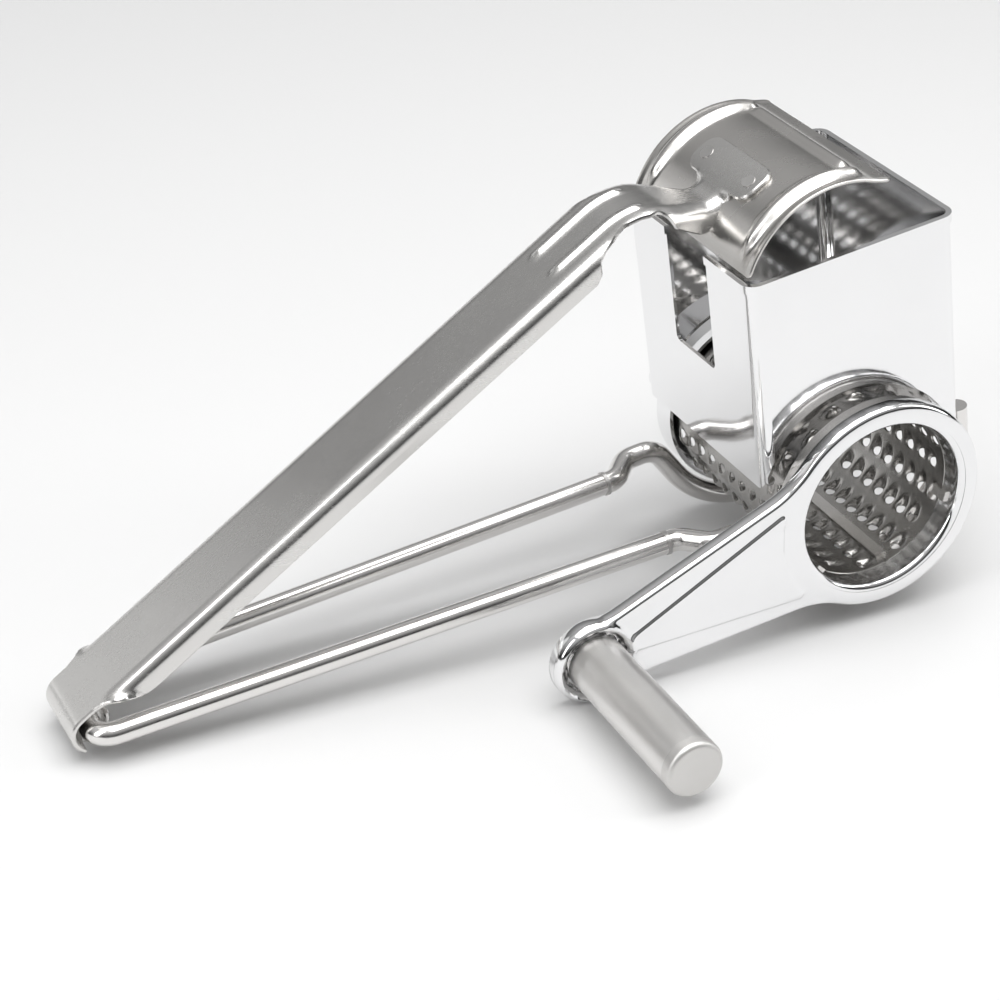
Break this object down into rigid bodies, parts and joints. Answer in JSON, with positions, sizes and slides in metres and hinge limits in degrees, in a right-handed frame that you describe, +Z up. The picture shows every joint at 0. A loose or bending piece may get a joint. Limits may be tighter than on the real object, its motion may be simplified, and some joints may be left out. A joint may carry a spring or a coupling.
{
  "type": "rotary cheese grater",
  "caption": "Hand-held steel drum grater with a square hopper, a wire handle, a hinged press lever and a side crank with a turning knob",
  "frame": {"origin": "centre of the bounding box at table height, the tool standing as it was stored", "axes": "+X from the handle's hinge towards the hopper, +Y along the drum away from the crank, +Z up from the table; the drum, lever and knob all turn about Y"},
  "size_m": [0.2144, 0.1072, 0.107],
  "materials": {
    "polished_sheet": "polished stainless sheet",
    "polished_wire": "polished stainless wire",
    "brushed_sheet": "fine brushed stainless sheet",
    "satin_sheet": "satin stainless sheet",
    "weld": "ground weld",
    "knob_bush": "matt moulded bush"
  },
  "bodies": {
    "frame": {"hopper_shell": "polished_sheet", "handle_crossbar": "polished_wire", "handle_leg_near": "polished_wire", "handle_leg_far": "polished_wire", "cradle_wire_near": "polished_wire", "cradle_wire_far": "polished_wire", "wire_butt_welds": "weld"},
    "lever": {"press_lever": "brushed_sheet", "press_plate": "polished_sheet", "lever_spot_welds": "weld"},
    "drum": {"crank_plate": "brushed_sheet", "crank_collar": "satin_sheet", "drum_shell": "satin_sheet", "drum_seam_strip": "satin_sheet", "drum_end_band": "polished_sheet", "drum_fixing_tabs": "satin_sheet", "knob_pin": "polished_wire", "knob_washer": "polished_wire", "knob_retainer": "polished_wire"},
    "knob": {"knob_sleeve": "brushed_sheet", "knob_end_cap": "satin_sheet", "knob_inner_bush": "knob_bush", "knob_outer_bush": "knob_bush"}
  },
  "joints": [
    {"name": "lever_hinge", "type": "hinge", "parent": "frame", "child": "lever", "pos_m": [-0.10223, 0.02622, 0.00684], "axis": [0, -1, 0], "range_deg": [-13.3, 70]},
    {"name": "drum_spin", "type": "hinge", "parent": "frame", "child": "drum", "pos_m": [0.07425, 0.02622, 0.03014], "axis": [0, -1, 0], "continuous": true},
    {"name": "knob_spin", "type": "hinge", "parent": "drum", "child": "knob", "pos_m": [0.00211, -0.0306, 0.01], "axis": [0, -1, 0], "continuous": true}
  ]
}
